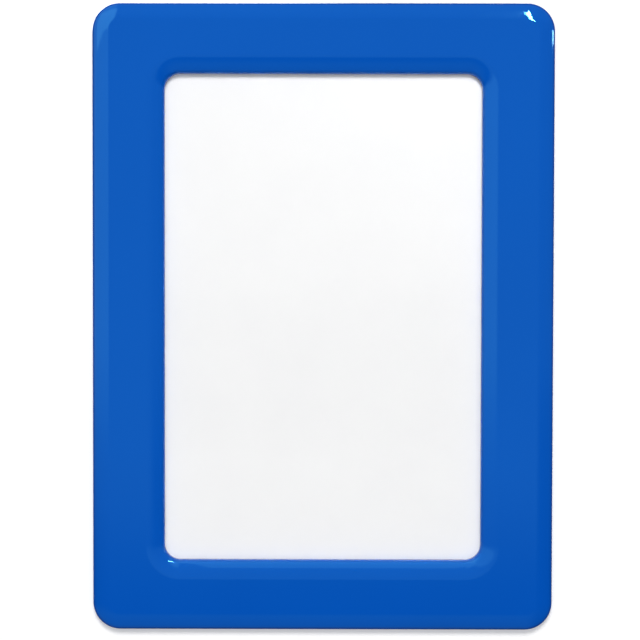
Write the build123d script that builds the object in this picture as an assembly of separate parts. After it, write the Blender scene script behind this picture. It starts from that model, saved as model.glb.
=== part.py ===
from build123d import *
from math import cos, radians, sin
import os

os.makedirs("parts", exist_ok=True)

# A magnetic photo frame for one upright 10 x 15 cm print, in millimetres.
# It stands as it hangs on a steel door: +Z is up, +X is to the right for someone who looks at
# the print, and the front faces -Y. The steel surface is the plane Y = 0. The origin lies on
# that plane, behind the middle of the window. A depth is a distance in front of the steel.

# The print and the window that shows it
card_width = 100.0
card_height = 150.0
card_thickness = 0.25
side_overlap = 4.0
end_overlap = 4.4
window_corner_radius = 4.5

# The pocket that the print slides into
card_side_clearance = 0.8
card_foot_clearance = 0.05
card_face_clearance = 0.1
side_spacer_width = 3.0
foot_spacer_width = 2.85
spacer_edge_inset = 0.4

# The clear film in front of the print and the white sheet behind it
film_thickness = 0.25
film_corner_radius = 2.0
film_edge_clearance = 0.3
film_tape_thickness = 0.15
film_tape_width = 5.5
film_tape_clearance = 0.3
sheet_thickness = 0.25
sheet_top_clearance = 0.3
thumb_notch_width = 22.0
thumb_reach = 6.0

# The flexible magnet strips
magnet_width = 9.5
magnet_thickness = 1.5
magnet_clearance = 0.25
magnet_tape_thickness = 0.15
magnet_tape_inset = 0.6

# The moulded bezel
outer_corner_radius = 8.0
wall_thickness = 1.4
front_skin = 1.8
rear_gap = 0.2
fence_thickness = 1.0
rib_thickness = 1.0
rib_height = 1.05
rib_pitch = 14.0
slot_end_clearance = 1.0

# The crown of the bezel: a flat band, a faint crease, a long curved shoulder and a tight roll
# into the wall. The slopes are in degrees from the flat band.
outer_shoulder_width = 4.8
inner_shoulder_width = 5.3
crease_slope = 4.0
roll_slope = 20.0
wall_slope = 90.0
edge_radius = 1.8

# How far a cut runs past the faces that it opens
overrun = 1.0

# Depths, from the steel to the front
card_back = sheet_thickness + card_face_clearance
card_front = card_back + card_thickness
film_back = card_front + card_face_clearance
film_front = film_back + film_thickness
film_bed = film_front + film_tape_thickness
magnet_bed = magnet_thickness + magnet_tape_thickness
cavity_floor = magnet_bed + rib_height
frame_depth = cavity_floor + front_skin

# Half sizes, from the middle of the window out to the sides
card_side = card_width / 2
window_side = card_side - side_overlap
lip_side = window_side + wall_thickness
spacer_side = card_side + card_side_clearance
film_side = spacer_side + side_spacer_width + spacer_edge_inset
fence_side = film_side + film_edge_clearance
channel_side = fence_side + fence_thickness
cavity_side = channel_side + magnet_width + 2 * magnet_clearance
outer_side = cavity_side + wall_thickness

# Half sizes, from the middle of the window down to the foot, and up to the head alike
card_end = card_height / 2
window_end = card_end - end_overlap
lip_end = window_end + wall_thickness
spacer_end = card_end + card_foot_clearance
film_end = spacer_end + foot_spacer_width + spacer_edge_inset
fence_end = film_end + film_edge_clearance
channel_end = fence_end + fence_thickness
cavity_end = channel_end + magnet_width + 2 * magnet_clearance
outer_end = cavity_end + wall_thickness

front_plane = Plane.XZ.offset(frame_depth)


def slab(half_width, half_height, back, front, corner_radius=0):
    """A plate in the middle of the frame, from one depth to another."""
    if corner_radius:
        outline = RectangleRounded(2 * half_width, 2 * half_height, corner_radius)
    else:
        outline = Rectangle(2 * half_width, 2 * half_height)
    return extrude(Plane.XZ.offset(back) * outline, front - back)


def bar(left, right, low, high, back, front):
    """A block between two sides, two heights and two depths."""
    middle = Pos((left + right) / 2, (low + high) / 2)
    outline = Rectangle(right - left, high - low)
    return extrude(Plane.XZ.offset(back) * middle * outline, front - back)


def both_sides(right_hand_piece):
    """A piece and its mirror image on the other side of the window."""
    return right_hand_piece + mirror(right_hand_piece, about=Plane.YZ)


def evenly_spaced(half_length, pitch):
    """Places about the middle of a length, near the wanted pitch, with a bay left at each end."""
    bays = max(2, round(2 * half_length / pitch))
    step = 2 * half_length / bays
    return [step * bay - half_length for bay in range(1, bays)]


def shoulder_section(shoulder_width):
    """What is cut off the square edge, seen along the rail: X towards the open side, Y forward."""
    crease = radians(crease_slope)
    roll = radians(roll_slope)
    curved_run = shoulder_width - edge_radius * (1 - sin(roll))
    curve_radius = curved_run / (sin(roll) - sin(crease))
    start = (-shoulder_width, 0)
    heading = (cos(crease), -sin(crease))
    shoulder = JernArc(start, heading, curve_radius, crease_slope - roll_slope)
    edge_roll = JernArc(shoulder @ 1, shoulder % 1, edge_radius, roll_slope - wall_slope)
    foot = edge_roll @ 1
    rest = Polyline(
        foot,
        (foot.X + overrun, foot.Y),
        (foot.X + overrun, overrun),
        (-shoulder_width, overrun),
        start,
    )
    return make_face([shoulder, edge_roll, rest])


def shoulder_cut(half_width, half_height, corner_radius, shoulder_width, open_side):
    """The shoulder's cut all round an outline; open_side is 1 outside it and -1 inside it."""
    edge = RectangleRounded(2 * half_width, 2 * half_height, corner_radius).wire()
    outline = front_plane * edge
    forward = front_plane.z_dir
    towards_open = (outline % 0).cross(forward) * open_side
    section_plane = Plane(outline @ 0, x_dir=towards_open, z_dir=towards_open.cross(forward))
    return sweep(section_plane * shoulder_section(shoulder_width), path=outline)


def crowned_ring():
    """The bezel's outer form: a rounded ring with a soft shoulder on both of its edges."""
    ring = slab(outer_side, outer_end, rear_gap, frame_depth, outer_corner_radius)
    ring -= slab(
        window_side, window_end, rear_gap - overrun, frame_depth + overrun, window_corner_radius
    )
    ring -= shoulder_cut(outer_side, outer_end, outer_corner_radius, outer_shoulder_width, 1)
    ring -= shoulder_cut(window_side, window_end, window_corner_radius, inner_shoulder_width, -1)
    return ring


def hollow_back():
    """The hollow behind the crown, between the outer wall and the lip round the window."""
    corner_radius = outer_corner_radius - wall_thickness
    lip_radius = window_corner_radius + wall_thickness
    hollow = slab(cavity_side, cavity_end, rear_gap - overrun, cavity_floor, corner_radius)
    return hollow - slab(lip_side, lip_end, rear_gap - overrun, cavity_floor, lip_radius)


def film_seat():
    """Room behind the lip and between the fences, where film, print and sheet lie."""
    return slab(fence_side, fence_end, rear_gap - overrun, film_front)


def fences():
    """Walls between the magnets and the pocket: one each side and one under the pocket."""
    side_fence = bar(
        fence_side, channel_side, -cavity_end, cavity_end, rear_gap, cavity_floor + overrun
    )
    foot_fence = bar(
        -fence_side, fence_side, -channel_end, -fence_end, rear_gap, cavity_floor + overrun
    )
    return both_sides(side_fence) + foot_fence


def side_ribs():
    """Ribs across the two side rails, stepped to carry the magnet and the film tape."""
    ribs = []
    floor = cavity_floor + overrun
    for height in evenly_spaced(lip_end, rib_pitch):
        low = height - rib_thickness / 2
        high = height + rib_thickness / 2
        magnet_step = bar(channel_side, cavity_side, low, high, magnet_bed, floor)
        film_step = bar(lip_side, fence_side, low, high, film_bed, floor)
        ribs.append(both_sides(magnet_step + film_step))
    return ribs


def end_ribs():
    """Ribs across the foot rail, stepped alike, and across the head rail, which has no magnet."""
    ribs = []
    floor = cavity_floor + overrun
    for place in evenly_spaced(lip_side, rib_pitch):
        left = place - rib_thickness / 2
        right = place + rib_thickness / 2
        ribs.append(bar(left, right, -cavity_end, -channel_end, magnet_bed, floor))
        ribs.append(bar(left, right, -fence_end, -lip_end, film_bed, floor))
        ribs.append(bar(left, right, lip_end, cavity_end, film_bed, floor))
    return ribs


def card_slot():
    """The slot through the head's outer wall, where the print goes in."""
    slot_side = card_side + slot_end_clearance
    return bar(
        -slot_side, slot_side, cavity_end - overrun, outer_end + overrun, -overrun, film_front
    )


def front_bezel():
    """The glossy moulded front: crown, walls, lip, fences and ribs in one piece."""
    bezel = crowned_ring() - hollow_back()
    bezel -= film_seat()
    bezel += [fences(), *side_ribs(), *end_ribs()]
    return bezel - card_slot()


def window_film():
    """The clear pane, taped to the ribs behind the lip."""
    return slab(film_side, film_end, film_back, film_front, film_corner_radius)


def film_tape_side():
    """The right-hand strip of tape between the film and the ribs."""
    inner = lip_side + film_tape_clearance
    length_end = film_end - film_tape_clearance
    return bar(inner, inner + film_tape_width, -length_end, length_end, film_front, film_bed)


def film_tape_end():
    """The upper strip of tape, which fits between the two side strips."""
    inner = lip_end + film_tape_clearance
    return bar(-lip_side, lip_side, inner, inner + film_tape_width, film_front, film_bed)


def back_sheet():
    """The white sheet behind the print, with a thumb notch that bares the print's top edge."""
    top = cavity_end - sheet_top_clearance
    notch_radius = thumb_notch_width / 2
    notch_middle = card_end - thumb_reach + notch_radius
    sheet = bar(-film_side, film_side, -film_end, top, 0, sheet_thickness)
    notch = bar(
        -notch_radius, notch_radius, notch_middle, top + overrun, -overrun, sheet_thickness + overrun
    )
    round_end = Plane.XZ.offset(-overrun) * Pos(0, notch_middle) * Circle(notch_radius)
    notch += extrude(round_end, sheet_thickness + 2 * overrun)
    return sheet - notch


def side_spacer():
    """The right-hand strip that joins sheet and film, beside the print."""
    outer = spacer_side + side_spacer_width
    return bar(spacer_side, outer, -spacer_end, film_end, sheet_thickness, film_back)


def foot_spacer():
    """The strip that joins sheet and film under the print, which rests on it."""
    outer_x = spacer_side + side_spacer_width
    low = -spacer_end - foot_spacer_width
    return bar(-outer_x, outer_x, low, -spacer_end, sheet_thickness, film_back)


def magnet_side():
    """The right-hand magnet, which ends where the corner's curve begins."""
    inner = channel_side + magnet_clearance
    length_end = outer_end - outer_corner_radius
    return bar(inner, inner + magnet_width, -length_end, length_end, 0, magnet_thickness)


def magnet_side_tape():
    """The tape that holds the right-hand magnet to the ribs."""
    inner = channel_side + magnet_clearance + magnet_tape_inset
    outer = cavity_side - magnet_clearance - magnet_tape_inset
    length_end = outer_end - outer_corner_radius - magnet_tape_inset
    return bar(inner, outer, -length_end, length_end, magnet_thickness, magnet_bed)


def magnet_foot():
    """The magnet along the foot, between the two side fences."""
    high = -channel_end - magnet_clearance
    reach = fence_side - magnet_clearance
    return bar(-reach, reach, high - magnet_width, high, 0, magnet_thickness)


def magnet_foot_tape():
    """The tape that holds the foot magnet to the ribs."""
    high = -channel_end - magnet_clearance - magnet_tape_inset
    low = -cavity_end + magnet_clearance + magnet_tape_inset
    reach = fence_side - magnet_clearance - magnet_tape_inset
    return bar(-reach, reach, low, high, magnet_thickness, magnet_bed)


def photo_card():
    """A blank print, all the way down in the pocket."""
    return slab(card_side, card_end, card_back, card_front)


def left_of(right_hand_piece):
    """The same piece on the left of the window."""
    return mirror(right_hand_piece, about=Plane.YZ)


def below(upper_piece):
    """The same piece at the foot of the window."""
    return mirror(upper_piece, about=Plane.XY)


pieces = {
    "front_bezel": front_bezel(),
    "window_film": window_film(),
    "film_tape_right": film_tape_side(),
    "film_tape_left": left_of(film_tape_side()),
    "film_tape_top": film_tape_end(),
    "film_tape_bottom": below(film_tape_end()),
    "back_sheet": back_sheet(),
    "pocket_spacer_right": side_spacer(),
    "pocket_spacer_left": left_of(side_spacer()),
    "pocket_spacer_bottom": foot_spacer(),
    "magnet_right": magnet_side(),
    "magnet_left": left_of(magnet_side()),
    "magnet_bottom": magnet_foot(),
    "magnet_tape_right": magnet_side_tape(),
    "magnet_tape_left": left_of(magnet_side_tape()),
    "magnet_tape_bottom": magnet_foot_tape(),
    "photo_card": photo_card(),
}

for name, piece in pieces.items():
    export_step(piece, f"parts/{name}.step")

print(f"outside {2 * outer_side:.1f} x {2 * outer_end:.1f} x {frame_depth:.2f} mm")
print(f"window {2 * window_side:.1f} x {2 * window_end:.1f} mm")
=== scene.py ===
# %% [markdown]
# # A magnetic photo frame, dressed in Blender
# The object is a glossy blue moulded frame for one upright print. It clings to a steel door by
# flexible magnets behind its rail, and the print slides in from above, between a clear film and
# a thin white sheet. Every size comes from the CAD model, which is loaded first and never moved.
# This script only gives each piece the surface that the real one has.

# %% Load the CAD model
import math

import bmesh
import bpy
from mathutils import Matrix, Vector


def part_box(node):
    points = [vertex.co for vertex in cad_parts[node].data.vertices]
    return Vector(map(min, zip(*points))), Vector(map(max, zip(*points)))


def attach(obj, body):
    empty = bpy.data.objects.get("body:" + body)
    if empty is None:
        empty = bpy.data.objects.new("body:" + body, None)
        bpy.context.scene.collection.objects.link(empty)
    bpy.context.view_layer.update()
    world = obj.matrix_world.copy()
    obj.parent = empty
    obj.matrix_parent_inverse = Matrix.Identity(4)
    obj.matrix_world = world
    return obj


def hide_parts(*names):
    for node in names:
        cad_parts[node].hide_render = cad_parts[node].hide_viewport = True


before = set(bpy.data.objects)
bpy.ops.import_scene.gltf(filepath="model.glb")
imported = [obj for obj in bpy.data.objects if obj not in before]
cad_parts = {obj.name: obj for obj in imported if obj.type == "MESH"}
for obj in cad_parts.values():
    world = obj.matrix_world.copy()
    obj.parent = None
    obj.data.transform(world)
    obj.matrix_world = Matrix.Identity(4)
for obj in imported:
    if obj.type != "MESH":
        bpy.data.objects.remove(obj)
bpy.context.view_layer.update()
MM = 0.001

# %% [markdown]
# ## Sizes of the moulding
# The bezel is one moulding: a rail that is flat in the middle, with a faint crease, a long curved
# shoulder and a tight roll on both edges. A mesh from CAD has just enough facets for its size
# limits, and a glossy curve shows them. So the bezel is made again here, from the same sizes,
# with more facets. Outer sizes are read from the CAD pieces. A depth is a distance in front of
# the steel, so it is a Y with its sign turned round.

# %% Read the outer sizes and name the rest
bezel_low, bezel_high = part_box("front_bezel")
film_low, film_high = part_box("window_film")
OUTER_SIDE = bezel_high.x
OUTER_END = bezel_high.z
FRONT_DEPTH = -bezel_low.y
REAR_DEPTH = -bezel_high.y
FILM_FRONT = -film_low.y
OUTER_CORNER = 8.0 * MM
WINDOW_SIDE = 46.0 * MM
WINDOW_END = 70.6 * MM
WINDOW_CORNER = 4.5 * MM
WALL = 1.4 * MM
FRONT_SKIN = 1.8 * MM
CAVITY_FLOOR = FRONT_DEPTH - FRONT_SKIN
print(f"bezel {2 * OUTER_SIDE / MM:.1f} x {2 * OUTER_END / MM:.1f} x {FRONT_DEPTH / MM:.2f} mm")

# %% [markdown]
# ## The rail's profile
# Seen from its end, each edge of the rail falls away along two arcs. The first is long and
# shallow and starts with a faint crease, so the flat band ends in a line that catches the light.
# The second is tight and rolls into the wall. Arcs worked out by angle give evenly spread points
# and true tangents, which is what keeps a highlight clean where one arc meets the next.

# %% Work out the shoulder's arcs
CREASE_SLOPE = math.radians(4)
ROLL_SLOPE = math.radians(20)
WALL_SLOPE = math.radians(90)
EDGE_RADIUS = 1.8 * MM
OUTER_SHOULDER = 4.8 * MM
INNER_SHOULDER = 5.3 * MM
ARC_STEPS = 12


def shoulder_points(width):
    """Points from the wall to the crease, as (distance in from the edge, depth)."""
    curved_run = width - EDGE_RADIUS * (1 - math.sin(ROLL_SLOPE))
    radius = curved_run / (math.sin(ROLL_SLOPE) - math.sin(CREASE_SLOPE))
    points = [(width, FRONT_DEPTH)]
    for step in range(1, ARC_STEPS + 1):
        slope = CREASE_SLOPE + (ROLL_SLOPE - CREASE_SLOPE) * step / ARC_STEPS
        inset = width - radius * (math.sin(slope) - math.sin(CREASE_SLOPE))
        depth = FRONT_DEPTH - radius * (math.cos(CREASE_SLOPE) - math.cos(slope))
        points.append((inset, depth))
    roll_top = points[-1][1]
    for step in range(1, ARC_STEPS + 1):
        slope = ROLL_SLOPE + (WALL_SLOPE - ROLL_SLOPE) * step / ARC_STEPS
        inset = EDGE_RADIUS * (1 - math.sin(slope))
        depth = roll_top - EDGE_RADIUS * (math.cos(ROLL_SLOPE) - math.cos(slope))
        points.append((inset, depth))
    return list(reversed(points))


print("the outer wall is", round(shoulder_points(OUTER_SHOULDER)[0][1] / MM, 2), "mm high")

# %% [markdown]
# ## Rings round the frame
# The moulding is a stack of rings. Each ring is a rounded rectangle at one depth, and all rings
# have the same number of points, so neighbouring rings join in four-sided faces. A bevel
# modifier could round a box in one step, but it can't give the outer and the inner edge their
# own arcs, and its corners would pinch where the window's corner is tighter than the shoulder.

# %% Make one ring
CORNER_STEPS = 24
CORNER_SIGNS = ((1, 1), (-1, 1), (-1, -1), (1, -1))


def ring_points(half_width, half_height, corner_radius, depth):
    """A rounded rectangle at one depth, counter-clockwise for someone in front of the frame."""
    points = []
    for quarter, (sign_x, sign_z) in enumerate(CORNER_SIGNS):
        centre_x = sign_x * (half_width - corner_radius)
        centre_z = sign_z * (half_height - corner_radius)
        for step in range(CORNER_STEPS + 1):
            angle = math.pi / 2 * (quarter + step / CORNER_STEPS)
            x = centre_x + corner_radius * math.cos(angle)
            z = centre_z + corner_radius * math.sin(angle)
            points.append(Vector((x, -depth, z)))
    return points


def ring_from_outside(inset, depth):
    """A ring that follows the bezel's outer edge, moved in by an inset."""
    return ring_points(OUTER_SIDE - inset, OUTER_END - inset, OUTER_CORNER - inset, depth)


def ring_from_window(offset, depth):
    """A ring that follows the window's edge, moved out by an offset."""
    return ring_points(WINDOW_SIDE + offset, WINDOW_END + offset, WINDOW_CORNER + offset, depth)


print("points in a ring:", len(ring_from_outside(0, 0)))

# %% [markdown]
# ## The bezel's skin
# The rings run from the hollow behind the rail, round the rear rim of the outer wall, over the
# crown, down through the window and back under the lip. The last ring joins the first, so the
# skin is closed. A narrow ring just inside each crease keeps the flat band truly flat: without
# it, the smooth shading would tilt the whole band. The rims get a tiny chamfer, as a real mould
# leaves, because a perfectly sharp rim never catches the light.

# %% List the rings
RIM_CHAMFER = 0.15 * MM
CREASE_WIDTH = 0.3 * MM


def bezel_rings():
    """All rings of the moulding, in order, from the hollow's floor round to the floor again."""
    rings = [
        ring_from_outside(WALL, CAVITY_FLOOR),
        ring_from_outside(WALL, REAR_DEPTH + RIM_CHAMFER),
        ring_from_outside(WALL - RIM_CHAMFER, REAR_DEPTH),
        ring_from_outside(RIM_CHAMFER, REAR_DEPTH),
        ring_from_outside(0, REAR_DEPTH + RIM_CHAMFER),
    ]
    rings += [ring_from_outside(*point) for point in shoulder_points(OUTER_SHOULDER)]
    rings.append(ring_from_outside(OUTER_SHOULDER + CREASE_WIDTH, FRONT_DEPTH))
    rings.append(ring_from_window(INNER_SHOULDER + CREASE_WIDTH, FRONT_DEPTH))
    rings += [ring_from_window(*point) for point in reversed(shoulder_points(INNER_SHOULDER))]
    rings += [
        ring_from_window(0, FILM_FRONT + RIM_CHAMFER),
        ring_from_window(RIM_CHAMFER, FILM_FRONT),
        ring_from_window(WALL - RIM_CHAMFER, FILM_FRONT),
        ring_from_window(WALL, FILM_FRONT + RIM_CHAMFER),
        ring_from_window(WALL, CAVITY_FLOOR),
    ]
    return rings


print("rings:", len(bezel_rings()))

# %% [markdown]
# ## From rings to a skin
# Blender keeps a mesh as data and shows it through an object. An editable mesh, a bmesh, is the
# easiest way to build one face by face: its points are made ring by ring, and each pair of
# neighbouring rings gets a row of four-sided faces. The faces are then turned outwards, because
# shading and Booleans both need to know which side is the outside.


# %% Join them into a skin
def add_object(name, data):
    """A new object in the scene."""
    made = bpy.data.objects.new(name, data)
    bpy.context.scene.collection.objects.link(made)
    return made


def object_from_mesh(name, mesh):
    """A new object from an editable mesh, which is then done with."""
    data = bpy.data.meshes.new(name)
    mesh.to_mesh(data)
    mesh.free()
    return add_object(name, data)


def skin_from_rings(name, rings):
    """A closed skin whose faces join each ring to the next, and the last ring to the first."""
    mesh = bmesh.new()
    rows = [[mesh.verts.new(point) for point in ring] for ring in rings]
    for row, next_row in zip(rows, rows[1:] + rows[:1]):
        for at in range(len(row)):
            after = (at + 1) % len(row)
            mesh.faces.new((row[at], row[after], next_row[after], next_row[at]))
    bmesh.ops.recalc_face_normals(mesh, faces=mesh.faces)
    return object_from_mesh(name, mesh)


bezel = skin_from_rings("bezel_moulding", bezel_rings())
print("bezel skin faces:", len(bezel.data.polygons))

# %% [markdown]
# ## Fences, ribs and the slot
# Behind the crown, a real moulding has thin walls that keep the magnets away from the print, and
# ribs that carry the magnets and the film without making the plastic thick. The print enters
# through a slot in the top wall. Each wall or rib is a block that is joined to the skin with an
# exact Boolean, and the slot is cut the same way, so the result is one closed moulding. The ends
# of each block run a little way into what they join, because a Boolean is surest where solids
# overlap and don't just touch.

# %% Sizes behind the crown
card_low, card_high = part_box("photo_card")
FENCE = 1.0 * MM
RIB = 1.0 * MM
RIB_PITCH = 14.0 * MM
SLOT_SPARE = 1.0 * MM
FENCE_GAP = 0.3 * MM
JOIN_DEPTH = 0.4 * MM
FENCE_SINK = RIB / 2
RIB_SINK = RIB / 4
FENCE_SIDE = film_high.x + FENCE_GAP
FENCE_END = film_high.z + FENCE_GAP
LIP_SIDE = WINDOW_SIDE + WALL
LIP_END = WINDOW_END + WALL
CAVITY_SIDE = OUTER_SIDE - WALL
CAVITY_END = OUTER_END - WALL
MAGNET_BED = -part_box("magnet_tape_right")[0].y
FILM_BED = -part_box("film_tape_right")[0].y
print(f"fences start {FENCE_SIDE / MM:.1f} mm from the middle")

# %% [markdown]
# ## One block for each wall and rib
# Thin moulded walls of this size have straight sides, so a box is the true shape of each. It is
# stretched between two corners in its mesh, and not by the object's scale, so that everything
# stays in metres. The ribs are spread evenly, near a wanted pitch, as a mould maker spaces them.


# %% Make a block
def block(name, low, high):
    """A closed box between two corners."""
    mesh = bmesh.new()
    bmesh.ops.create_cube(mesh, size=1)
    for vertex in mesh.verts:
        share = vertex.co + Vector((0.5, 0.5, 0.5))
        vertex.co = [a + (b - a) * s for a, b, s in zip(low, high, share)]
    return object_from_mesh(name, mesh)


def moulded_bar(left, right, low, high, back):
    """A wall or rib from one depth forward into the crown."""
    front = CAVITY_FLOOR + JOIN_DEPTH
    return block("bar", (left, -front, low), (right, -back, high))


def evenly_spaced(half_length, pitch):
    """Places about the middle of a length, near the wanted pitch, with a bay left at each end."""
    bays = max(2, round(2 * half_length / pitch))
    step = 2 * half_length / bays
    return [step * bay - half_length for bay in range(1, bays)]


print("ribs across a side rail:", len(evenly_spaced(LIP_END, RIB_PITCH)))


# %% Make the fences and ribs
def fence_bars():
    """The fence on each side of the pocket, and the one under it."""
    bars = []
    top = CAVITY_END + FENCE_SINK
    reach = FENCE_SIDE + FENCE_SINK
    for side in (-1, 1):
        inner, outer = sorted((side * FENCE_SIDE, side * (FENCE_SIDE + FENCE)))
        bars.append(moulded_bar(inner, outer, -top, top, REAR_DEPTH))
    bars.append(moulded_bar(-reach, reach, -FENCE_END - FENCE, -FENCE_END, REAR_DEPTH))
    return bars


def rib_bars():
    """The ribs across the four rails, stepped where they carry a magnet or the film."""
    bars = []
    side_steps = (
        (FENCE_SIDE + FENCE - RIB_SINK, CAVITY_SIDE + RIB_SINK, MAGNET_BED),
        (LIP_SIDE - RIB_SINK, FENCE_SIDE + RIB_SINK, FILM_BED),
    )
    for height in evenly_spaced(LIP_END, RIB_PITCH):
        for side in (-1, 1):
            for inner, outer, bed in side_steps:
                near, far = sorted((side * inner, side * outer))
                bars.append(moulded_bar(near, far, height - RIB / 2, height + RIB / 2, bed))
    end_steps = (
        (-CAVITY_END - RIB_SINK, -FENCE_END - FENCE + RIB_SINK, MAGNET_BED),
        (-FENCE_END - RIB_SINK, -LIP_END + RIB_SINK, FILM_BED),
        (LIP_END - RIB_SINK, CAVITY_END + RIB_SINK, FILM_BED),
    )
    for place in evenly_spaced(LIP_SIDE, RIB_PITCH):
        for low, high, bed in end_steps:
            bars.append(moulded_bar(place - RIB / 2, place + RIB / 2, low, high, bed))
    return bars


bars_behind = fence_bars() + rib_bars()
print("fences and steps of ribs:", len(bars_behind))

# %% [markdown]
# ## One moulding
# On the real bezel the crown, the walls and the ribs are one piece of plastic. Loose boxes inside
# the skin would look much the same, but their faces would cross where they meet. A Boolean can
# take all the blocks at once as a collection, which is quicker than one Boolean for each, and a
# second one cuts the slot.


# %% Join them to the skin and cut the slot
def combine(target, others, operation):
    """Joins solids to the target, or cuts them from it, and removes them."""
    group = bpy.data.collections.new("tools")
    for other in others:
        group.objects.link(other)
    modifier = target.modifiers.new(operation.lower(), "BOOLEAN")
    modifier.operation = operation
    modifier.solver = "EXACT"
    modifier.operand_type = "COLLECTION"
    modifier.collection = group
    graph = bpy.context.evaluated_depsgraph_get()
    result = bpy.data.meshes.new_from_object(target.evaluated_get(graph))
    target.modifiers.clear()
    target.data = result
    for other in others:
        bpy.data.objects.remove(other)
    bpy.data.collections.remove(group)


combine(bezel, bars_behind, "UNION")
slot_side = card_high.x + SLOT_SPARE
slot_low = (-slot_side, -FILM_FRONT, CAVITY_END - RIB)
slot_high = (slot_side, REAR_DEPTH, OUTER_END + RIB)
combine(bezel, [block("slot", slot_low, slot_high)], "DIFFERENCE")
print("bezel faces with ribs and slot:", len(bezel.data.polygons))

# %% [markdown]
# ## Smooth curves and sharp edges
# Every face is shaded smooth, and only edges that turn sharply are marked sharp. This keeps the
# crown's curves fluid and the ribs crisp, and it works on any mesh, also after a Boolean.

# %% Mark the sharp edges
SHARP_TURN = math.radians(32)
MERGE_DISTANCE = 0.001 * MM


def smooth_between_sharp_edges(piece):
    """Shades a mesh smooth, apart from its sharp edges."""
    mesh = bmesh.new()
    mesh.from_mesh(piece.data)
    bmesh.ops.remove_doubles(mesh, verts=mesh.verts, dist=MERGE_DISTANCE)
    sharp = 0
    for face in mesh.faces:
        face.smooth = True
    for edge in mesh.edges:
        edge.smooth = len(edge.link_faces) == 2 and edge.calc_face_angle(0) < SHARP_TURN
        sharp += not edge.smooth
    open_edges = sum(len(edge.link_faces) != 2 for edge in mesh.edges)
    mesh.to_mesh(piece.data)
    mesh.free()
    print(piece.name, "has", sharp, "sharp edges and", open_edges, "open edges")


smooth_between_sharp_edges(bezel)
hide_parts("front_bezel")
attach(bezel, "frame")

# %% [markdown]
# ## Node helpers
# Each finish is a small node graph round one shader. A few helpers keep the graphs readable: they
# start a finish, make noise at a size in millimetres, turn a value into another range, mix two
# colours and build a bump of a real depth. Positions come from the object's own coordinates, so
# nothing slides in another view.

# %% Write the helpers that make a pattern
def start_finish(name):
    """A new material, its shader and a source of positions in metres."""
    finish = bpy.data.materials.new(name)
    finish.use_nodes = True
    nodes = finish.node_tree.nodes
    place = nodes.new("ShaderNodeTexCoord")
    return finish, nodes["Principled BSDF"], place.outputs["Object"]


def wire(finish, value, socket):
    """Links a value to an input."""
    finish.node_tree.links.new(value, socket)


def noise(finish, place, size_mm, detail=2):
    """Noise whose grains are about size_mm across. Returns its value."""
    texture = finish.node_tree.nodes.new("ShaderNodeTexNoise")
    texture.inputs["Scale"].default_value = 1 / (size_mm * MM)
    texture.inputs["Detail"].default_value = detail
    wire(finish, place, texture.inputs["Vector"])
    return texture.outputs["Fac"]


def spread(finish, value, low, high, start=0.3, end=0.7):
    """Maps a value from the range start to end to the range low to high."""
    mapping = finish.node_tree.nodes.new("ShaderNodeMapRange")
    mapping.inputs["From Min"].default_value = start
    mapping.inputs["From Max"].default_value = end
    mapping.inputs["To Min"].default_value = low
    mapping.inputs["To Max"].default_value = high
    wire(finish, value, mapping.inputs["Value"])
    return mapping.outputs["Result"]


def patches(finish, place, size_mm, low=0, high=1, detail=2):
    """A value that wanders between low and high in patches of a size."""
    return spread(finish, noise(finish, place, size_mm, detail), low, high)


print("materials before dressing:", len(bpy.data.materials))

# %% [markdown]
# ## Helpers for colour, bump and finish
# A pattern can show as a change of colour, of polish or of height. Two near colours keep a finish
# calm. A bump gets its real depth in millimetres, so it looks right under any lamp, and one bump
# can lie on another, such as a fine grain on slow waves.


# %% Write the helpers that use it
def blend_colours(finish, value, first, second):
    """Mixes two colours by a value."""
    mix = finish.node_tree.nodes.new("ShaderNodeMix")
    mix.data_type = "RGBA"
    mix.inputs["A"].default_value = (*first, 1)
    mix.inputs["B"].default_value = (*second, 1)
    wire(finish, value, mix.inputs["Factor"])
    return mix.outputs["Result"]


def relief(finish, height, depth_mm, after=None):
    """Turns a height from 0 to 1 into a bump of that depth, on top of an earlier bump."""
    bump = finish.node_tree.nodes.new("ShaderNodeBump")
    bump.inputs["Strength"].default_value = 1
    bump.inputs["Distance"].default_value = depth_mm * MM
    wire(finish, height, bump.inputs["Height"])
    if after:
        wire(finish, after, bump.inputs["Normal"])
    return bump.outputs["Normal"]


def wear(piece, finish):
    """Gives a piece its finish in every material slot."""
    if not piece.data.materials:
        piece.data.materials.append(finish)
    for at in range(len(piece.data.materials)):
        piece.data.materials[at] = finish


print("pieces to dress:", len(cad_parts))

# %% [markdown]
# ## Glossy blue plastic
# The bezel is polystyrene moulded in a polished tool, so its colour is in the plastic and its
# skin is nearly a mirror. Real mouldings still show a faint orange peel, a slow waviness where
# the plastic shrank over the ribs, and a polish that varies a little. They are far too faint to
# see as colour, so they go into the bump and the roughness, where only a reflection shows them.
# In the photo the sheen stays blue: hardly any red comes back from it. A plain clear gloss would
# grey the blue, so the sheen has a tint of its own.

# %% Make the blue plastic
BLUE = (0.0008, 0.0880, 0.503)
DEEP_BLUE = (0.0007, 0.0850, 0.491)
BLUE_SHEEN = (0.16, 0.72, 1.0, 1)
PLASTIC_IOR = 1.5


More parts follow.
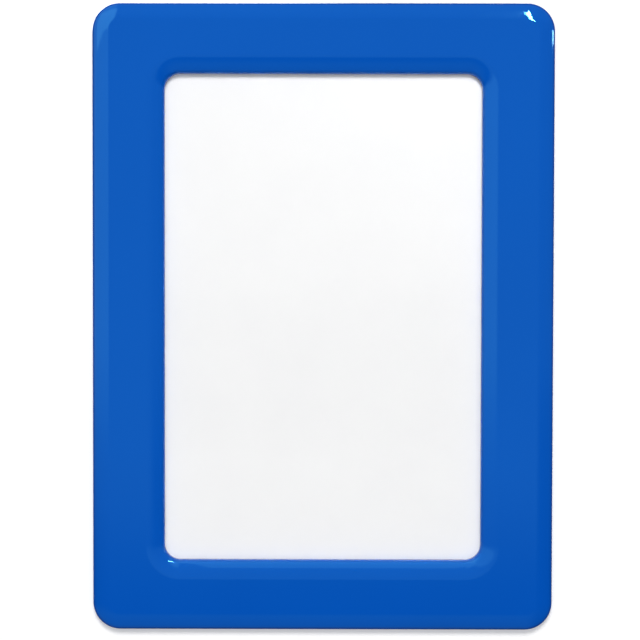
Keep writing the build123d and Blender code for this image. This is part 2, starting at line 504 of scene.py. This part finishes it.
def blue_plastic():
    """Blue polystyrene from a polished mould."""
    finish, shader, place = start_finish("blue_gloss_plastic")
    shade = patches(finish, place, size_mm=35)
    wire(finish, blend_colours(finish, shade, BLUE, DEEP_BLUE), shader.inputs["Base Color"])
    polish = patches(finish, place, size_mm=9, low=0.015, high=0.035, detail=4)
    wire(finish, polish, shader.inputs["Roughness"])
    shrink = relief(finish, noise(finish, place, size_mm=16, detail=0), depth_mm=0.006)
    peel_height = noise(finish, place, size_mm=0.9, detail=1)
    peel = relief(finish, peel_height, depth_mm=0.0004, after=shrink)
    wire(finish, peel, shader.inputs["Normal"])
    shader.inputs["IOR"].default_value = PLASTIC_IOR
    shader.inputs["Specular Tint"].default_value = BLUE_SHEEN
    return finish


wear(bezel, blue_plastic())
print("blue plastic is on the bezel")

# %% [markdown]
# ## Clear film
# The window is a thin clear film that lies against the bezel's lip. A real film lets nearly all
# light through to the print. A renderer would treat its shadow as solid, so the film is hidden
# from shadow and diffuse rays. What is left is what the eye sees of it: a faint reflection. Its
# refraction is set a little low, because the photo shows hardly any reflection in the window.

# %% Make the film
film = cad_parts["window_film"]
FILM_TINT = (0.995, 0.998, 1, 1)
FILM_IOR = 1.3


def clear_film():
    """Clear flexible film."""
    finish, shader, place = start_finish("clear_film")
    shader.inputs["Base Color"].default_value = FILM_TINT
    shader.inputs["Transmission Weight"].default_value = 1
    shader.inputs["IOR"].default_value = FILM_IOR
    polish = patches(finish, place, size_mm=12, low=0.02, high=0.05)
    wire(finish, polish, shader.inputs["Roughness"])
    waves = relief(finish, noise(finish, place, size_mm=30, detail=0), depth_mm=0.01)
    wire(finish, waves, shader.inputs["Normal"])
    return finish


wear(film, clear_film())
film.visible_shadow = False
film.visible_diffuse = False
print("film thickness", round((film_high.y - film_low.y) / MM, 2), "mm")

# %% [markdown]
# ## The blank print
# The photo shows plain white in the window, so the print is blank photo paper: smooth, slightly
# glossy and not quite even. Its white is below full white, so that light alone doesn't burn it
# out and the shadow of the rail can lie on it.

# %% Make the paper
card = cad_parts["photo_card"]
PAPER_WHITE = (0.935, 0.935, 0.935)
PAPER_SHADE = (0.92, 0.92, 0.923)
PAPER_GLOSS = 0.3


def photo_paper():
    """Blank coated photo paper."""
    finish, shader, place = start_finish("blank_photo_paper")
    cloud = patches(finish, place, size_mm=18)
    white = blend_colours(finish, cloud, PAPER_WHITE, PAPER_SHADE)
    wire(finish, white, shader.inputs["Base Color"])
    shader.inputs["Specular IOR Level"].default_value = PAPER_GLOSS
    polish = patches(finish, place, size_mm=2, low=0.32, high=0.42, detail=3)
    wire(finish, polish, shader.inputs["Roughness"])
    tooth = relief(finish, noise(finish, place, size_mm=0.35, detail=3), depth_mm=0.003)
    wire(finish, tooth, shader.inputs["Normal"])
    return finish


wear(card, photo_paper())
print("print", [round(size / MM, 1) for size in card_high - card_low], "mm")

# %% [markdown]
# ## The white back sheet
# Behind the print lies a thin sheet of white plastic with a matt, lightly embossed skin. It is
# what shows from behind, so its grain matters more than its thickness.

# %% Make the sheet
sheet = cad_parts["back_sheet"]
sheet_low, sheet_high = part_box("back_sheet")
SHEET_WHITE = (0.8, 0.8, 0.785)
SHEET_SHADE = (0.765, 0.765, 0.745)


def white_sheet():
    """Matt white plastic sheet with a fine emboss."""
    finish, shader, place = start_finish("white_backing")
    tone = patches(finish, place, size_mm=40)
    white = blend_colours(finish, tone, SHEET_WHITE, SHEET_SHADE)
    wire(finish, white, shader.inputs["Base Color"])
    polish = patches(finish, place, size_mm=3, low=0.45, high=0.6, detail=3)
    wire(finish, polish, shader.inputs["Roughness"])
    emboss = relief(finish, noise(finish, place, size_mm=0.5), depth_mm=0.012)
    wire(finish, emboss, shader.inputs["Normal"])
    return finish


wear(sheet, white_sheet())
print("sheet thickness", round((sheet_high.y - sheet_low.y) / MM, 2), "mm")

# %% [markdown]
# ## Magnet strips
# A flexible magnet is rubber filled with ferrite powder. It is rolled out and slit to width, so
# it is dark brown-grey, matt, and faintly lined along its length, and its cut edges are a little
# soft. The strips are made again with rounded edges, in the space of the CAD strips, because an
# edge that catches some light is what makes a dark piece readable.

# %% Make the soft-edged strips
STRIP_EDGE_RADIUS = 0.2 * MM


def soft_edged_strip(node):
    """A strip in the space of a CAD node, with small rounded edges."""
    low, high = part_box(node)
    strip = block(node + "_strip", low, high)
    mesh = bmesh.new()
    mesh.from_mesh(strip.data)
    bmesh.ops.bevel(
        mesh, geom=mesh.edges[:], offset=STRIP_EDGE_RADIUS, segments=3, profile=0.5, affect="EDGES"
    )
    mesh.to_mesh(strip.data)
    mesh.free()
    smooth_between_sharp_edges(strip)
    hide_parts(node)
    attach(strip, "frame")
    return strip


upright_strips = [soft_edged_strip("magnet_left"), soft_edged_strip("magnet_right")]
level_strip = soft_edged_strip("magnet_bottom")
print("magnet strips:", len(upright_strips) + 1)

# %% [markdown]
# ## Ferrite rubber
# The powder gives the rubber a fine grain, and rolling draws it out into faint lines along the
# strip. Noise that is stretched along one axis makes such lines. The strips run two ways, so
# there are two finishes: one for the upright strips and one for the level strip.

# %% Make the rubber
RUBBER_DARK = (0.042, 0.034, 0.029)
RUBBER_LIGHT = (0.062, 0.052, 0.045)
ACROSS = 1.0
ALONG = 0.02


def magnet_rubber(lengthwise):
    """Ferrite-filled rubber, with faint lines along X or Z."""
    finish, shader, place = start_finish("magnet_rubber_" + lengthwise)
    grain = patches(finish, place, size_mm=0.4, detail=4)
    brown = blend_colours(finish, grain, RUBBER_DARK, RUBBER_LIGHT)
    wire(finish, brown, shader.inputs["Base Color"])
    polish = patches(finish, place, size_mm=5, low=0.5, high=0.68, detail=3)
    wire(finish, polish, shader.inputs["Roughness"])
    squeeze = finish.node_tree.nodes.new("ShaderNodeMapping")
    scales = {"x": (ALONG, 1, ACROSS), "z": (ACROSS, 1, ALONG)}
    squeeze.inputs["Scale"].default_value = scales[lengthwise]
    wire(finish, place, squeeze.inputs["Vector"])
    line_height = noise(finish, squeeze.outputs["Vector"], size_mm=0.5)
    lines = relief(finish, line_height, depth_mm=0.02)
    powder_height = noise(finish, place, size_mm=0.25, detail=3)
    powder = relief(finish, powder_height, depth_mm=0.008, after=lines)
    wire(finish, powder, shader.inputs["Normal"])
    return finish


upright_rubber = magnet_rubber("z")
for strip in upright_strips:
    wear(strip, upright_rubber)
wear(level_strip, magnet_rubber("x"))
print("rubber is on the strips")

# %% [markdown]
# ## Tapes and spacers
# The strips that hold the film and the magnets are thin double-sided tape, slightly yellow and
# cloudy. The spacers round the pocket are thin white foam. They are hidden once the frame is
# together, and they show only at the slot and the notch, so the CAD pieces stay and get finishes.

# %% Make the tape and the foam
TAPE_YELLOW = (0.72, 0.69, 0.58)
TAPE_SHADE = (0.62, 0.59, 0.48)
FOAM_WHITE = (0.8, 0.8, 0.78)
FOAM_SHADE = (0.7, 0.7, 0.68)
FOAM_CELL = 0.25 * MM


def cloudy_tape():
    """Double-sided tape with a little yellow in it."""
    finish, shader, place = start_finish("adhesive_tape")
    cloud = patches(finish, place, size_mm=4, detail=3)
    yellow = blend_colours(finish, cloud, TAPE_YELLOW, TAPE_SHADE)
    wire(finish, yellow, shader.inputs["Base Color"])
    polish = patches(finish, place, size_mm=1.5, low=0.3, high=0.45, detail=3)
    wire(finish, polish, shader.inputs["Roughness"])
    waves = relief(finish, noise(finish, place, size_mm=1.2), depth_mm=0.01)
    wire(finish, waves, shader.inputs["Normal"])
    return finish


def spacer_foam():
    """White closed-cell foam."""
    finish, shader, place = start_finish("spacer_foam")
    cells = finish.node_tree.nodes.new("ShaderNodeTexVoronoi")
    cells.inputs["Scale"].default_value = 1 / FOAM_CELL
    wire(finish, place, cells.inputs["Vector"])
    shade = spread(finish, cells.outputs["Distance"], low=0, high=1, start=0, end=0.6)
    white = blend_colours(finish, shade, FOAM_WHITE, FOAM_SHADE)
    wire(finish, white, shader.inputs["Base Color"])
    polish = patches(finish, place, size_mm=1, low=0.6, high=0.75)
    wire(finish, polish, shader.inputs["Roughness"])
    cell_walls = relief(finish, cells.outputs["Distance"], depth_mm=0.03)
    wire(finish, cell_walls, shader.inputs["Normal"])
    return finish


tape_finish = cloudy_tape()
foam_finish = spacer_foam()
for name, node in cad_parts.items():
    if "tape" in name:
        wear(node, tape_finish)
    if "spacer" in name:
        wear(node, foam_finish)
print("tapes and spacers are dressed")

# %% [markdown]
# ## Wall and floor
# The photo shows the frame flat against white, with a thin shadow under its top inner edge and
# its foot. So a white wall stands right behind the magnets, and a pale floor lies lower down.
# A real wall would need more light than the frame to come out pure white. Here both are lifted
# for the camera alone, which keeps the wall's shadows and puts no more light on the object. The
# rails are darker near their foot, so hardly any light comes up from below: the floor's bounce
# is off. The wall is seen from the front only, because from behind it would hide the magnets.

# %% Mix the backdrop's paint
def backdrop_paint(name, shade, lift, front_only):
    """White paint, lifted towards full white for the camera alone."""
    paint = bpy.data.materials.new(name)
    paint.use_nodes = True
    nodes, links = paint.node_tree.nodes, paint.node_tree.links
    nodes.clear()
    diffuse = nodes.new("ShaderNodeBsdfDiffuse")
    diffuse.inputs["Color"].default_value = (shade, shade, shade, 1)
    glow = nodes.new("ShaderNodeEmission")
    camera_ray = nodes.new("ShaderNodeLightPath")
    strength = nodes.new("ShaderNodeMath")
    strength.operation = "MULTIPLY"
    strength.inputs[1].default_value = lift
    links.new(camera_ray.outputs["Is Camera Ray"], strength.inputs[0])
    links.new(strength.outputs[0], glow.inputs["Strength"])
    both = nodes.new("ShaderNodeAddShader")
    links.new(diffuse.outputs[0], both.inputs[0])
    links.new(glow.outputs[0], both.inputs[1])
    last = both.outputs[0]
    if front_only:
        see_through = nodes.new("ShaderNodeBsdfTransparent")
        side = nodes.new("ShaderNodeNewGeometry")
        choice = nodes.new("ShaderNodeMixShader")
        links.new(side.outputs["Backfacing"], choice.inputs["Fac"])
        links.new(last, choice.inputs[1])
        links.new(see_through.outputs[0], choice.inputs[2])
        last = choice.outputs[0]
    out = nodes.new("ShaderNodeOutputMaterial")
    links.new(last, out.inputs["Surface"])
    return paint


wall_paint = backdrop_paint("wall_paint", shade=0.9, lift=0.2, front_only=True)
floor_paint = backdrop_paint("floor_paint", shade=0.8, lift=0.6, front_only=False)
print("paints:", wall_paint.name, "and", floor_paint.name)

# %% [markdown]
# ## The stage
# Wall and floor are one flat face each. They aren't part of the object, and neither of them
# shows in its reflections or throws light on it: the world does both.

# %% Build the stage
WALL_GAP = 0.2 * MM
WALL_HALF = 450 * MM
FLOOR_DROP = 260 * MM
FLOOR_HALF = 12.0


def stage_plane(name, corners, paint):
    """A flat backdrop with four corners, which neither mirrors in the object nor lights it."""
    data = bpy.data.meshes.new(name)
    data.from_pydata(corners, [], [(0, 1, 2, 3)])
    made = add_object(name, data)
    wear(made, paint)
    made.visible_diffuse = False
    made.visible_glossy = False
    return made


wall = stage_plane(
    "wall",
    [
        (-WALL_HALF, WALL_GAP, -FLOOR_DROP),
        (WALL_HALF, WALL_GAP, -FLOOR_DROP),
        (WALL_HALF, WALL_GAP, WALL_HALF),
        (-WALL_HALF, WALL_GAP, WALL_HALF),
    ],
    wall_paint,
)
wall.visible_shadow = False
stage_plane(
    "floor",
    [
        (-FLOOR_HALF, -FLOOR_HALF, -FLOOR_DROP),
        (FLOOR_HALF, -FLOOR_HALF, -FLOOR_DROP),
        (FLOOR_HALF, FLOOR_HALF, -FLOOR_DROP),
        (-FLOOR_HALF, FLOOR_HALF, -FLOOR_DROP),
    ],
    floor_paint,
)
print("the wall stands", WALL_GAP / MM, "mm behind the magnets")

# %% [markdown]
# ## Light
# A glossy moulding shows two kinds of light. Its own colour comes from all the light that falls
# on it, and its sheen is a faint mirror picture of the room. The photo lets us read both.
# The shadows say where the key lamp is: they fall straight down, by a bit under two thirds of the
# rail's depth, so it hangs in front, about 32 degrees up. The side rails keep nearly the same blue
# from top to foot, so it is over two metres away: a near lamp would burn out the top of the print
# and leave its foot grey. The rest is even light from straight in front, and from behind for the
# back. The sheen says what the room is like: a pale panel in front that ends a little below the
# lens, a brighter one on the left and a dimmer one on the right that end at nearly the same
# height, and fainter light from above, below and behind. The world can answer each kind of ray by
# itself, so one world gives both, without noise.

# %% Wire a world from small sums
studio = bpy.data.worlds.new("studio")
studio.use_nodes = True
room = studio.node_tree


def facing(axis):
    """How far a ray points along an axis, from -1 to 1."""
    direction = room.nodes.new("ShaderNodeTexCoord")
    axes = room.nodes.new("ShaderNodeSeparateXYZ")
    room.links.new(direction.outputs["Generated"], axes.inputs[0])
    return axes.outputs[axis]


def rise(value, start, end, amount=1.0):
    """Goes softly from 0 to an amount while a value goes from start to end."""
    mapping = room.nodes.new("ShaderNodeMapRange")
    mapping.interpolation_type = "SMOOTHSTEP"
    mapping.inputs["From Min"].default_value = start
    mapping.inputs["From Max"].default_value = end
    mapping.inputs["To Min"].default_value = 0
    mapping.inputs["To Max"].default_value = amount
    room.links.new(value, mapping.inputs["Value"])
    return mapping.outputs["Result"]


def reckon(operation, first, *others):
    """Adds or multiplies values one after another."""
    for other in others:
        step = room.nodes.new("ShaderNodeMath")
        step.operation = operation
        for socket, value in zip(step.inputs, (first, other)):
            if isinstance(value, (int, float)):
                socket.default_value = value
            else:
                room.links.new(value, socket)
        first = step.outputs[0]
    return first


print("world:", studio.name)

# %% [markdown]
# ## The room in the sheen
# Directions are sines: 0.1 along Z is a ray that climbs about 6 degrees. The panels' edges are
# set by where the sheen ends on the rails. On the left rail, for instance, it ends 60 mm below
# the middle, and a mirror there sends the lens's view down by 8 degrees. A pair of numbers says
# where a part of the room starts to show and where it is full.

# %% Say how bright the room is by direction
FRONT_PANEL = 0.66
LEFT_PANEL = 0.9
RIGHT_PANEL = 0.4
ABOVE = 0.15
BELOW = 0.35
ALL_ROUND = 0.12
BEHIND = 0.1
FRONT_SHARE_AT_RIGHT = 0.25
FRONT_FOOT = (-0.18, -0.105)
LEFT_FOOT = (-0.115, -0.035)
RIGHT_FOOT = (-0.12, -0.03)
TO_LEFT = (-0.13, -0.22)
TO_RIGHT = (0.1, 0.45)
FROM_RIGHT = (0.45, 0.1)
UPWARD = (0.25, 0.5)
DOWNWARD = (-0.18, -0.45)
FORWARD = (0.3, -0.3)
BACKWARD = (0.0, 0.3)


def mirrored_room():
    """How bright the room looks in a reflection, by direction."""
    sideways, climb, away = facing("X"), facing("Z"), facing("Y")
    panel = rise(climb, *FRONT_FOOT, FRONT_PANEL)
    ahead = reckon("ADD", panel, rise(climb, *DOWNWARD, BELOW), ALL_ROUND)
    fade = rise(sideways, *FROM_RIGHT, 1 - FRONT_SHARE_AT_RIGHT)
    front = reckon("MULTIPLY", ahead, reckon("ADD", fade, FRONT_SHARE_AT_RIGHT))
    right = reckon("MULTIPLY", rise(sideways, *TO_RIGHT, RIGHT_PANEL), rise(climb, *RIGHT_FOOT))
    left = reckon("MULTIPLY", rise(sideways, *TO_LEFT, LEFT_PANEL), rise(climb, *LEFT_FOOT))
    above = rise(climb, *UPWARD, ABOVE)
    before = reckon("MULTIPLY", reckon("ADD", front, right, left, above), rise(away, *FORWARD))
    return reckon("ADD", before, rise(away, *BACKWARD, BEHIND))


mirror_picture = mirrored_room()
print("world nodes for the sheen:", len(room.nodes))

# %% [markdown]
# ## The light that falls on the pieces
# Diffuse rays get their own answer: light from all round, with a soft pool of it straight in
# front and a second one behind the frame. The camera, and what it sees through the film, gets
# plain white.

# %% Say what each kind of ray meets
LIGHT_ALL_ROUND = 0.17
LIGHT_IN_FRONT = 0.68
LIGHT_BEHIND = 0.5
POOL_IN_FRONT = (-0.5, -0.95)
POOL_BEHIND = (0.2, 0.9)


def even_light():
    """The light that falls from all round, and more from straight in front and behind."""
    away = facing("Y")
    in_front = rise(away, *POOL_IN_FRONT, LIGHT_IN_FRONT)
    behind = rise(away, *POOL_BEHIND, LIGHT_BEHIND)
    return reckon("ADD", in_front, behind, LIGHT_ALL_ROUND)


ray = room.nodes.new("ShaderNodeLightPath")
seen = reckon("MAXIMUM", ray.outputs["Is Camera Ray"], ray.outputs["Is Transmission Ray"])
sheen = reckon("MULTIPLY", mirror_picture, ray.outputs["Is Glossy Ray"])
even = reckon("MULTIPLY", even_light(), ray.outputs["Is Diffuse Ray"])
sky = room.nodes["Background"]
sky.inputs["Color"].default_value = (1, 1, 1, 1)
room.links.new(reckon("MAXIMUM", seen, sheen, even), sky.inputs["Strength"])
studio.cycles.sampling_method = "NONE"
bpy.context.scene.world = studio
print("world nodes:", len(room.nodes))

# %% [markdown]
# ## Lamps
# The key lamp gives the two thin shadows, and a softer lamp behind the wall lights the back, where
# the magnets are. A lamp's power is worked out from how bright it should be, because the same
# power looks brighter from a smaller lamp. A flat lamp of area A and power P has the brightness
# P / (pi A), where 1 is white. A matt white wall at a distance d, square to the lamp, then has
# the shade P / (pi^2 d^2), and a slanted wall has less.

# %% Hang the lamps
MIDDLE = (0, 0, 0)
KEY_PLACE = (0.0, -1.9, 1.2)
KEY_SIZE = 0.675
KEY_SHADE = 0.51
BACK_PLACE = (-0.4, 1.2, 0.6)
BACK_SIZE = 0.8
BACK_SHADE = 0.54


def lamp_at(name, place, aim, width, height, watts):
    """An area lamp at a place in metres, aimed at a point."""
    light = bpy.data.lights.new(name, "AREA")
    light.shape = "RECTANGLE"
    light.size = width
    light.size_y = height
    light.energy = watts
    lamp = add_object(name, light)
    lamp.location = place
    lamp.rotation_euler = (Vector(aim) - Vector(place)).to_track_quat("-Z", "Y").to_euler()
    lamp.visible_camera = False
    return lamp


def watts_for_shade(place, shade):
    """Power that lights a matt white face, upright as the frame is, to a shade."""
    distance = Vector(place).length
    slant = abs(place[1]) / distance
    return shade * math.pi ** 2 * distance ** 2 / slant


key_watts = watts_for_shade(KEY_PLACE, KEY_SHADE)
back_watts = watts_for_shade(BACK_PLACE, BACK_SHADE)
key = lamp_at("key", KEY_PLACE, MIDDLE, KEY_SIZE, KEY_SIZE, key_watts)
key.visible_glossy = False
lamp_at("back_fill", BACK_PLACE, MIDDLE, BACK_SIZE, BACK_SIZE, back_watts)
print("key lamp:", round(key_watts, 2), "W, lamp behind:", round(back_watts, 2), "W")

# %% [markdown]
# ## Lamps for the sheen alone
# The world is endlessly far away, so a flat rail mirrors it the same at both ends. Two pale
# patches in the photo show on one edge alone, so they come from panels close to the frame: one
# round the top left corner, and one like a shelf over the foot of the window. Two lamps are small
# and very bright. A tall oval is mirrored as the short white streak on the top right corner and
# as a dot at the window's lower left corner, and a thin lamp on the right draws a fine line on
# the rolled edge. All four show in reflections alone, so the plastic's own colour keeps its level.

# %% Hang the lamps that only show in the sheen
GLINT_BRIGHTNESS = 170
SHELF_SPREAD = math.radians(160)


def lamp_for_mirror(name, place, aim, width, height, brightness):
    """A lamp that only reflections meet, with a brightness where 1 is white."""
    lamp = lamp_at(name, place, aim, width, height, math.pi * brightness * width * height)
    lamp.visible_diffuse = False
    lamp.visible_transmission = False
    return lamp


lamp_for_mirror(
    "corner_panel",
    place=(-0.2325, -0.30, 0.234),
    aim=(-0.2325, 0, 0.234),
    width=0.228,
    height=0.232,
    brightness=1.65,
)
shelf = lamp_for_mirror(
    "shelf",
    place=(0.004, -0.165, 0.06),
    aim=(0.004, -0.165, 0),
    width=0.108,
    height=0.31,
    brightness=1.25,
)
shelf.data.spread = SHELF_SPREAD
streak = lamp_for_mirror(
    "streak",
    place=(0.128, -0.478, 0.295),
    aim=(0.128, 0, 0.295),
    width=0.032,
    height=0.27,
    brightness=GLINT_BRIGHTNESS,
)
streak.data.shape = "ELLIPSE"
lamp_for_mirror(
    "edge_line",
    place=(0.62, -0.12, 0.149),
    aim=(0, 0, 0.09),
    width=0.2,
    height=0.014,
    brightness=GLINT_BRIGHTNESS / 4,
)
print("lamps:", sorted(lamp.name for lamp in bpy.data.lights))

# %% [markdown]
# ## Camera
# The photo was taken nearly square on: the frame's four corners show that the lens stood about
# 600 mm away, 21 mm above the middle and looking down by 2 degrees. The focal length then
# follows from the size of the frame in the picture.

# %% Set the camera
CAMERA_PLACE = Vector((0.54, -600.0, 20.98)) * MM
LOOK_DOWN = math.radians(2.07)
TURN = math.radians(0.14)
LEAN = math.radians(-0.12)
PICTURE_WIDTH_PX = 640
FOCAL_PX = 2058.7
SENSOR_WIDTH_MM = 36.0
NEAREST = 10 * MM

lens = bpy.data.cameras.new("photo_camera")
lens.sensor_width = SENSOR_WIDTH_MM
lens.lens = FOCAL_PX / PICTURE_WIDTH_PX * SENSOR_WIDTH_MM
lens.clip_start = NEAREST
camera = add_object("photo_camera", lens)
camera.location = CAMERA_PLACE
camera.rotation_euler = (math.pi / 2 - LOOK_DOWN, LEAN, TURN)
bpy.context.scene.camera = camera
bpy.context.scene.view_settings.view_transform = "Standard"
print("focal length", round(lens.lens, 1), "mm")
